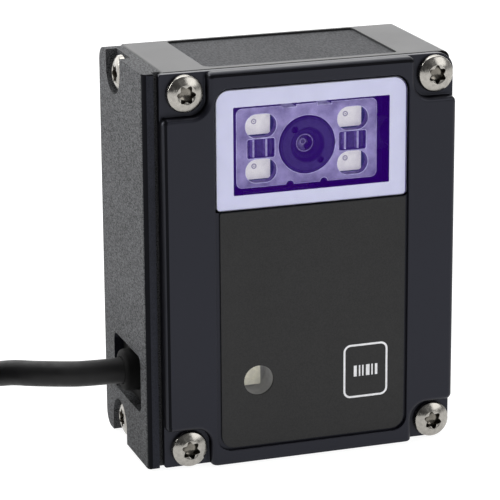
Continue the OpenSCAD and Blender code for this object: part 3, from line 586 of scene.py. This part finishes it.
def housing():
    me = prism(rect(HX, 0, X1, HT, (0.3, 1.1, 1.1, 0.3), 12), HY, YB)
    me = cut(me, [
        prism(rect(HX + 2, 2, X1 - 2, HT - 2, 1.5), HY - 3, 8.6),
        prism(rect(-11.95, -6.9, 14.2, 9.9, (1.3, 0.7, 0.6, 0.6), 10), HT - 0.3, HT + 3, "xy"),
        prism(rect(-7.15, OZ - 4.85, 7.15, OZ + 4.85, 1.2), HX - 2, HX + 1.3, "yz"),
        prism(circle(0, BZ, 3.35), HX - 2, HX + 6, "yz"),
    ])
    me = fillet(me, 0.24, lambda c, d, e: near(c.y, YB), 3)
    me = fillet(me, 0.14, lambda c, d, e: near(c.y, HY) and not (HX + 1 < c.x < X1 - 1 and 1 < c.z < HT - 1), 2)
    me = fillet(me, 0.07, lambda c, d, e: near(c.z, HT) and -12.1 < c.x < 14.6 and -7.1 < c.y < 10.05, 2)
    spots = [(XC + i * 13, H / 2 + j * 18) for i in (-1, 1) for j in (-1, 1)]
    me = cut(me, [tapped(x, z) for x, z in spots])
    me = join([me, *[cut(prism(circle(x, z, 3.1), 5.0, 8.6), [tapped(x, z)]) for x, z in spots]])

    def paint(c, n):
        if -11.9 < c.x < 14.4 and -6.85 < c.y < 9.85 and HT - 0.4 < c.z < HT - 0.2 and n.z > 0.9:
            return 1
        if c.y > 5 and any(Vector((c.x - XC - i * 13, c.z - H / 2 - j * 18)).length < 1.5 for i in (-1, 1) for j in (-1, 1)):
            return 2 if abs(n.y) < 0.95 or c.y < YB - 0.05 else 0
        # the housing's front face, in the gap behind the cover, gets the dark rubber finish as painted shade
        return 3 if n.y < -0.9 and c.y < HY + 0.1 else 0

    return piece(me, "housing_shell", ["housing", "recess", "thread", "seal"], nodes=("main_housing",), paint=paint)


def side():
    me = prism(rect(YC, 0, YB, H, (0.3, 2.0, 2.0, 0.3), 12), X0, XP, "yz")
    er = 0.95
    turns = [math.pi / 2 * k / 8 for k in range(9)]
    bend = [(X0 + er - er * math.sin(t), YC + er - er * math.cos(t)) for t in turns]
    notches = []
    for z, s in ((2.05, -1), (H - 2.05, 1)):
        r = 3.2
        a0 = 180 if s > 0 else 0
        arc = [(SY + r * math.cos(math.radians(a0 + 180 * k / 24)), z + r * math.sin(math.radians(a0 + 180 * k / 24)))
               for k in range(25)]
        end = [(SY + r, z + 6), (SY - r, z + 6)] if s > 0 else [(SY - r, z - 6), (SY + r, z - 6)]
        notches.append(prism(arc + end, X0 - 2, X0 + 1.5, "yz"))
    me = cut(me, [
        prism([(LIP, -30), (0, -30), (0, -8.15), (LIP, -8.15)], -5, H + 5, "xy"),
        prism([(X0 - 1, YC - 1), (X0 + er, YC - 1), *bend, (X0 - 1, YC + er)], -5, H + 5, "xy"),
        prism(rect(-6.15, OZ - 3.85, 6.15, OZ + 3.85, 1.1, 10), X0 - 2, XP + 2, "yz"),
        *notches,
        *[prism(circle(SY, z, 1.4), X0 - 2, XP + 2, "yz") for z in PZ],
    ])
    me = fillet(me, 0.22, lambda c, d, e: near(c.x, X0) and (c.z > H - 0.4 or c.z < 0.4 or c.y > YB - 2.1)
                and not (abs(c.y - SY) < 3.15), 3)
    me = fillet(me, 0.12, lambda c, d, e: near(c.x, X0) and -6.3 < c.y < 7.4, 2)
    me = fillet(me, 0.15, lambda c, d, e: near(c.x, LIP) and near(c.y, YC), 2)
    me = fillet(me, 0.12, lambda c, d, e: near(c.z, H) and near(c.x, XP), 2)

    # Painted light: the lip's inner face gets near-black painted shade, the front corner's rounding a near-black
    # painted dark reflection, and the front strip and the opening's inner walls the darker painted shade copy of the
    # plate.
    def paint(c, n):
        if n.x > 0.3 and c.y < -7.9:
            return 2
        if n.y < -0.2 and c.y < YC + 1.0:
            return 1 if n.y < -0.9 else 2 if n.y < -0.35 else 0
        if abs(n.x) < 0.5 and n.z < 0.5 and abs(c.y) < 6.2 and abs(c.z - OZ) < 3.9 and c.x > X0 + 0.13:
            return 1
        return 0

    return piece(me, "side_plate_skin", ["plate", "plate_shade", "cover_painted_dark"], nodes=("side_plate",), paint=paint)


def cover():
    xl, xr, zt, zb = -12.7, 15.2, 46.8, 5.2

    def raised(d):
        """Outline of the raised face, drawn in by d: round corners outside, hollow ones at the pockets."""
        g = max(d, 0.0)
        p = [(CX + g, zb + d), (xl + d, zb + d), (xl + d, 0), (xr - d, 0), (xr - d, zb + d), (X1 - g, zb + d),
             (X1 - g, zt - d), (xr - d, zt - d), (xr - d, HT - g), (xl + d, HT - g), (xl + d, zt - d), (CX + g, zt - d)]
        o, h, q = 0.8 - d, 2.2 + d, 0.25
        return rounded(p, (o, h, q, q, h, o, o, h, o, o, h, o), 10)

    def base(d):
        return rect(CX + d, 0.3 * d, X1 - d, HT - d, (0.35 - d, 2.2 - d, 2.2 - d, 0.35 - d), 12)

    foot = [(0.16 * (math.sin(math.pi / 8 * k) - 1), 0.16 * (1 - math.cos(math.pi / 8 * k))) for k in range(5)]
    boss = loft([(raised(-0.16), -9.2)] + [(raised(i), YC - j) for i, j in foot]
                + [(raised(i), YF + 0.65 - j) for i, j in turn_in(0.65, 8)])
    skirt = loft([(base(i), YK - 0.14 + j) for i, j in reversed(turn_in(0.14, 3))]
                 + [(base(i), YC + 0.16 - j) for i, j in turn_in(0.16, 3)])

    def holes():
        return [
            prism(rect(-9.9, 35.7, 12.4, 48.1, 0.8), -30, 0),
            prism(circle(LX, LZ, 2.75), -30, 0),
            prism(rect(KX - 2.45, KZ - 3.05, KX + 2.45, KZ + 3.05, 0.95), -30, 0),
        ]

    seat = (-11.94, 34.0, 14.44, 50.19)
    boss = cut(boss, [flared(-11.95, 1.8, 14.45, 50.2, 2.0, YL, YF, 0.12),
                      prism(rect(*seat, (0.4, 0.4, 2.0, 2.0), 10), -30, -5), *holes()])
    skirt = cut(skirt, [prism(rect(*seat, (0.4, 0.4, 2.0, 2.0), 10), -30, YW), *holes(),
                        *[prism(circle(x, z, 1.4), -30, 0) for x in SX for z in SZ]])
    stand = [lathe([(1.0, 0.0), (1.9, 0.0), (1.9, 2.95), (1.8, 3.05), (1.1, 3.05), (1.0, 2.95)], (EX + i * 13, -8.55, EZ), (0, 1, 0), 40, True)
             for i in (-1, 1)]

    # Painted light: on the left and top roundings the outer band gets the glossier painted highlight and the inner band
    # the near-black painted dark reflection; walls round the pockets and the boss get near-black painted shade.
    def paint(c, n):
        if c.y > YC:
            return 0
        if c.x < CX + 0.7 and n.x < -0.05:
            return 2 if n.x < -0.56 else 1
        if c.z > HT - 0.7 and n.z > 0.05:
            return 2 if n.z > 0.555 else 1
        return 1 if abs(n.y) < 0.35 and c.y > -10.0 and CX + 0.3 < c.x < X1 - 0.2 and 0.2 < c.z < HT - 0.2 else 0

    return piece(join([boss, skirt, *stand]), "front_cover_skin", ["cover", "cover_painted_dark", "cover_painted_highlight"], nodes=("front_cover",),
                 paint=paint)


def button_head(name, at, turn, node, facing):
    """Button-head screw with a six-lobe recess and a plain shank with thread rings."""
    k = 1.35
    ball = 4.4
    prof = [(2.24 * i / 14, k - ball + math.sqrt(ball ** 2 - (2.24 * i / 14) ** 2)) for i in range(15)]
    prof += [(2.3, k - 0.65), (2.34, k - 0.71), (2.37, k - 0.79), (2.44, 0.2), (2.45, 0.14), (2.43, 0.04), (2.35, 0.0), (1.2, 0.0)]
    z = 0.0
    while z > -6.9:
        prof += [(1.2, z - 0.1), (1.05, z - 0.22), (1.2, z - 0.35)]
        z -= 0.45
    prof += [(1.2, -7.2), (0.9, -7.5), (0.0, -7.5)]
    head = lathe(prof, (0, 0, 0), (0, 0, 1), 72)
    lobes = []
    for i in range(96):
        a = 2 * math.pi * i / 96
        r = 1.06 + 0.19 * math.cos(6 * a)
        lobes.append((r * math.cos(a), r * math.sin(a)))
    well = prism(lobes, 0.3, k + 1.0, "xy")
    cone = lathe([(0.0, -0.1), (0.8, 0.26), (0.8, 0.32), (0.0, 0.4)], (0, 0, 0), (0, 0, 1), 48)
    entry = lathe([(0.0, k - 0.2), (1.24, k - 0.2), (1.44, k - 0.06), (1.44, k + 0.5), (0.0, k + 0.5)], (0, 0, 0), (0, 0, 1), 64)
    head = cut(head, [well, cone, entry])
    head = fillet(head, 0.06, lambda c, dd, e: Vector((c.x, c.y)).length < 1.3 and c.z > k - 0.25, 2, 40)
    spin = Vector((0, 0, 1)).rotation_difference(Vector(facing)).to_matrix().to_4x4() @ Matrix.Rotation(math.radians(turn), 4, "Z")
    head.transform(spin)
    inv = spin.inverted()

    # Painted shade: the lobe walls and the cone of the recess get darker steel, and the recess floor darker still.
    def paint(c, n):
        q = inv @ c
        r = Vector((q.x, q.y)).length
        if r > 1.29 or not -0.15 < q.z < k - 0.24 or q.z < 0 and r > 0.8:
            return 0
        return 2 if q.z < 0.35 and (q.z > 0.27 or r > 0.78) else 1

    return piece(head, name, ["steel", "pit_steel_shade", "pit_floor_shade"], nodes=(node,), paint=paint, at=at, sharp=40)


housing()
side()
cover()
for i, (x, z, turn) in enumerate(((SX[0], SZ[0], 42), (SX[1], SZ[0], 42), (SX[0], SZ[1], 0), (SX[1], SZ[1], 30))):
    button_head(f"front_screw_{i + 1}", (x, YC, z), turn, "front_screws", (0, -1, 0))
for i, (z, turn) in enumerate(((PZ[0], 8), (PZ[1], 35))):
    button_head(f"side_screw_{i + 1}", (X0 + 1.4, SY, z), turn, "side_screws", (-1, 0, 0))

# ---------------------------------------------------------------- window, film, key print


def window():
    me = fillet(prism(rect(-11.7, 34.15, 14.3, 49.9, (0.6, 0.6, 1.8, 1.8), 10), -10.2, -9.2), 0.18,
                lambda c, d, e: near(c.y, -10.2), 3)
    # the pane's front face gets the violet veil, a painted reflection of its coating
    piece(me, "window_pane", ["clear", "coat_painted_reflection", "open"], nodes=("window_plate",),
          paint=lambda c, n: 1 if n.y < -0.95 else 2 if n.y > 0.95 else 0)
    frame_ = cut(prism(rect(-11.6, 34.26, 14.1, 49.8, (0.45, 0.45, 1.7, 1.7), 10), -10.12, -10.08),
                 [prism(rect(-9.36, 36.04, 11.86, 47.57, 0.15), -12, -5)])
    piece(frame_, "window_print", "pale")


def film():
    me = cut(prism(rect(-11.3, 2.1, 14.1, 33.95, (1.7, 1.7, 0.2, 0.2), 10), -10.35, YL), [prism(circle(LX, LZ, 2.0, 64), -20, 0)])
    me = fillet(me, 0.05, lambda c, d, e: near(c.y, -10.35), 2)
    piece(me, "film_sheet", "film", nodes=("front_overlay",))
    ring = cut(prism(rect(KX - 3.1, KZ - 3.7, KX + 3.1, KZ + 3.7, 1.0, 8), -10.362, -10.345),
               [prism(rect(KX - 2.83, KZ - 3.43, KX + 2.83, KZ + 3.43, 0.75, 8), -12, -5)])
    bars, x = [], KX - 1.65
    for wide, gap in ((0.42, 0.3), (0.2, 0.26), (0.2, 0.34), (0.5, 0.26), (0.2, 0.3), (0.34, 0.0)):
        bars.append(prism(rect(x, KZ - 0.75, x + wide, KZ + 0.75), -10.362, -10.345))
        x += wide + gap
    piece(join([ring, *bars]), "key_print", "ink")


window()
film()

# ---------------------------------------------------------------- camera and lights behind the window


def engine():
    dx, dz = 6.25, 2.95
    me = prism(rect(EX - 9.6, EZ - 5.1, EX + 9.6, EZ + 5.4, 0.8), -8.5, -6.3)
    holes = [prism(rect(EX - 8.8, EZ - 4.7, EX + 8.8, EZ + 5.0, 0.4), -7.3, -5), prism(circle(EX, EZ, 3.85, 72), -12, -4)]
    for i in (-1, 1):
        for j in (-1, 1):
            holes.append(prism(rect(EX + i * dx - 2.1, EZ + j * dz - 1.55, EX + i * dx + 2.1, EZ + j * dz + 1.55, 1.5, 10), -12, -4))
        holes.append(prism(rect(EX + i * dx - 1.85, EZ - 1.25, EX + i * dx + 1.85, EZ + 1.25, 0.25), -12, -4))
        holes.append(prism(circle(EX + i * 2.3, EZ - 5.1, 0.5, 32), -12, -4))
        holes.append(prism(rect(EX + i * 2.4 - 0.95, EZ + 5.1, EX + i * 2.4 + 0.95, EZ + 6), -12, -4))
    me = fillet(cut(me, holes), 0.14, lambda c, d, e: near(c.y, -8.5), 3)

    # Painted light: front-most faces and the top slots' upper faces get the lighter painted highlight, and the deep
    # opening walls the darker painted shade.
    def wall(c, n):
        if n.y < -0.97:
            return 0
        if c.y < -8.3 or (n.z > 0.9 and near(c.z, EZ + 5.1, 0.1)):
            return 1
        return 2 if -7.2 > c.y and abs(n.y) < 0.5 else 0

    piece(me, "engine_window_moulding", ["moulding", "moulding_highlight", "moulding_shade"], nodes=("engine_lens_plate",),
          paint=wall)

    ribs = []
    for i in (-1, 1):
        cx = EX + i * dx
        outline = [(cx - 1.75, -7.45), (cx + 1.75, -7.45), (cx + 1.75, -7.85)]
        for k in range(33):
            x = cx + 1.75 - 3.5 * k / 32
            outline.append((x, -7.9 - 0.45 * max(0.0, math.cos((x - cx) / 1.75 * math.pi * 2 + math.pi))))
        outline.append((cx - 1.75, -7.85))
        clean = [p for q, p in enumerate(outline) if q == 0 or (Vector(p) - Vector(outline[q - 1])).length > 1e-3]
        ribs.append(prism(clean, EZ - 1.15, EZ + 1.15, "xy"))
    # Painted light: front crest faces get the lighter painted highlight, and faces turned to +X or lying at the back
    # the darker painted shade.
    piece(join(ribs), "aimer_rib_lenses", ["ribs", "rib_highlight", "rib_shade"], nodes=("aimer_lenses",),
          paint=lambda c, n: 1 if c.y < -8.2 and n.x < 0.2 else 2 if n.x > 0.2 or c.y > -7.95 else 0)

    prof = [(2.45, 0.0), (3.65, 0.0), (3.65, 6.25), (3.6, 6.38), (3.5, 6.46), (3.4, 6.5), (2.34, 6.5), (2.24, 6.47),
            (2.16, 6.38), (2.05, 6.2), (1.9, 5.95), (1.6, 5.86), (1.5, 5.8), (1.3, 5.62), (1.25, 5.55), (1.25, 5.3), (2.45, 5.3)]
    barrel = lathe(prof, (EX, -2.2, EZ), (0, -1, 0), 96, True)
    barrel = cut(barrel, [prism(circle(EX - i * 1.74, EZ + i * 2.1, 0.45, 32), -9.5, -8.1) for i in (-1, 1)])
    barrel = fillet(barrel, 0.05, lambda c, d, e: near(c.y, -8.7, 0.01) and any(
        near(Vector((c.x - EX + i * 1.74, c.z - EZ - i * 2.1)).length, 0.45, 0.03) for i in (-1, 1)), 2)
    # Painted shade: every face but the front face and the outer rim gets the darker copy.
    piece(barrel, "lens_barrel_ring", ["barrel", "barrel_painted_shade"], nodes=("lens_barrel",),
          paint=lambda c, n: 0 if near(c.y, -8.7, 0.012) or c.y < -8.5 and Vector((c.x - EX, c.z - EZ)).length > 3.5 else 1)

    dish = [(0.0, -0.36), (0.26, -0.36), (0.28, -0.3), (0.42, -0.27), (0.6, -0.16), (0.8, 0.04), (0.96, 0.26), (1.04, 0.42),
            (1.08, 0.47), (1.13, 0.48), (1.17, 0.46), (1.2, 0.4), (1.2, 0.31), (2.38, 0.31), (2.4, 0.25), (2.4, -0.8), (0.0, -0.8)]

    # Painted light: a lower-left crescent of the dish gets the painted reflection, and two thin rings the painted
    # highlight.
    def zone(c, n):
        r = Vector((c.x - EX, c.z - EZ)).length
        if 0.42 < r < 0.96 and c.x - EX < 0.12 and c.z - EZ < 0.5:
            return 2
        return 1 if 0.28 < r < 0.42 or 1.03 < r < 1.19 else 0

    piece(lathe(dish, (EX, -7.1, EZ), (0, -1, 0), 72), "front_lens_glass", ["lens", "lens_painted_rings", "lens_painted_reflection"], nodes=("front_lens",),
          paint=zone)

    leds = []
    marks = []
    for i in (-1, 1):
        for j in (-1, 1):
            cx, cz = EX + i * dx, EZ + j * dz
            one = prism(rect(cx - 1.7, cz - 1.4, cx + 1.7, cz + 1.4, 0.15, 4), -7.2, -6.3)
            one = fillet(one, 0.1, lambda c, d, e: near(c.y, -7.2), 2)
            leds.append(one)
            marks.append(lathe([(0.2, 0.0), (0.36, 0.0), (0.36, 0.03), (0.2, 0.03)], (cx - 0.55, -7.2, cz + 0.35), (0, -1, 0), 32, True))
            marks.append(lathe([(0.0, 0.0), (0.1, 0.0), (0.1, 0.03), (0.0, 0.03)], (cx - 0.55, -7.2, cz + 0.35), (0, -1, 0), 16))
    piece(join(leds), "light_packages", "led", nodes=("illumination_leds",))
    piece(join(marks), "light_marks", "led_mark")

    one = prism(rect(LX - 1.2, LZ - 1.55, LX + 1.2, LZ + 1.55, 0.15, 4), -7.4, -6.2)
    one = fillet(cut(one, [lathe([(0.0, 0.1), (1.0, 0.1), (1.0, -0.01), (0.75, -0.35), (0.0, -0.35)], (LX, -7.4, LZ), (0, -1, 0), 40)]),
                 0.08, lambda c, d, e: near(c.y, -7.4), 2)
    piece(one, "status_package", "status", nodes=("status_led",))


engine()

# ---------------------------------------------------------------- CAD pieces that keep their own shape

KEEP = {
    "side_gasket": "seal", "front_gasket": "seal", "window_tape": "tape", "rear_lens": "lens", "aimer_leds": "led",
    "led_board": "board", "engine_chassis": "chassis", "engine_mount_screws": "steel", "image_sensor": "chip",
    "sensor_board": "board", "engine_screws": "steel", "engine_flex": "amber", "flex_socket": "ivory",
    "main_board": "board", "board_screws": "steel", "processor_chip": "chip", "memory_chip": "chip",
    "crystal_can": "nickel", "board_parts": "tan", "buzzer": "chip", "cable_header": "ivory",
    "cable_connector": "ivory", "inner_wires": "wire", "front_board": "board", "front_board_screws": "steel",
    "light_sleeve": "sleeve", "tact_switch": "chip", "switch_stem": "ivory", "scan_key": "inner", "link_flex": "amber",
}
for n, f in KEEP.items():
    NODES[n].data.materials.clear()
    NODES[n].data.materials.append(M[f])

# ---------------------------------------------------------------- floor and light

floor_mesh = bpy.data.meshes.new("floor")
floor_mesh.from_pydata([(-4, -4, -0.0002), (4, -4, -0.0002), (4, 4, -0.0002), (-4, 4, -0.0002)], [], [(0, 1, 2, 3)])
floor = bpy.data.objects.new("floor", floor_mesh)
scene.collection.objects.link(floor)
white = bpy.data.materials.new("floor_white")
white.use_nodes = True
wb = white.node_tree.nodes["Principled BSDF"]
wb.inputs["Base Color"].default_value = (0.25, 0.25, 0.25, 1)
wb.inputs["Roughness"].default_value = 0.9
wb.inputs["Specular IOR Level"].default_value = 0.0
wb.inputs["Emission Color"].default_value = (1, 1, 1, 1)
wb.inputs["Emission Strength"].default_value = 0.92
floor_mesh.materials.append(white)

world = bpy.data.worlds.new("studio")
scene.world = world
world.use_nodes = True
wn, wl = world.node_tree.nodes, world.node_tree.links
bg = wn["Background"]
wc = wn.new("ShaderNodeTexCoord")
ws = wn.new("ShaderNodeSeparateXYZ")
wl.new(wc.outputs["Generated"], ws.inputs[0])
wr = wn.new("ShaderNodeMapRange")
wr.interpolation_type = "SMOOTHSTEP"
wr.inputs["From Min"].default_value, wr.inputs["From Max"].default_value = 0.1, 0.95
wl.new(ws.outputs["Y"], wr.inputs["Value"])
wf = wn.new("ShaderNodeMapRange")
wf.interpolation_type = "SMOOTHSTEP"
wf.inputs["From Min"].default_value, wf.inputs["From Max"].default_value = -0.35, 0.6
wf.inputs["To Min"].default_value, wf.inputs["To Max"].default_value = 0.1, 0.36
wl.new(ws.outputs["X"], wf.inputs["Value"])
wm = wn.new("ShaderNodeMix")
wm.inputs[3].default_value = 2.1
wl.new(wr.outputs["Result"], wm.inputs[0])
wl.new(wf.outputs["Result"], wm.inputs[2])
wl.new(wm.outputs[0], bg.inputs["Strength"])
bg.inputs["Color"].default_value = (1, 1, 1, 1)


def area(name, at, to, size, power):
    data = bpy.data.lights.new(name, "AREA")
    data.shape, data.size, data.energy = "SQUARE", size, power
    ob = bpy.data.objects.new(name, data)
    scene.collection.objects.link(ob)
    ob.location = at
    ob.rotation_mode = "QUATERNION"
    ob.rotation_quaternion = (Vector(to) - Vector(at)).to_track_quat("-Z", "Y")
    return ob


area("top", (0.05, 0.25, 1.0), (0, 0, 0.02), 0.8, 6.0)
area("left", (-0.9, 0.3, 0.5), (0, 0, 0.03), 0.6, 10.0)
area("front", (0.55, -0.65, 0.5), (0, 0, 0.03), 0.55, 2.0)
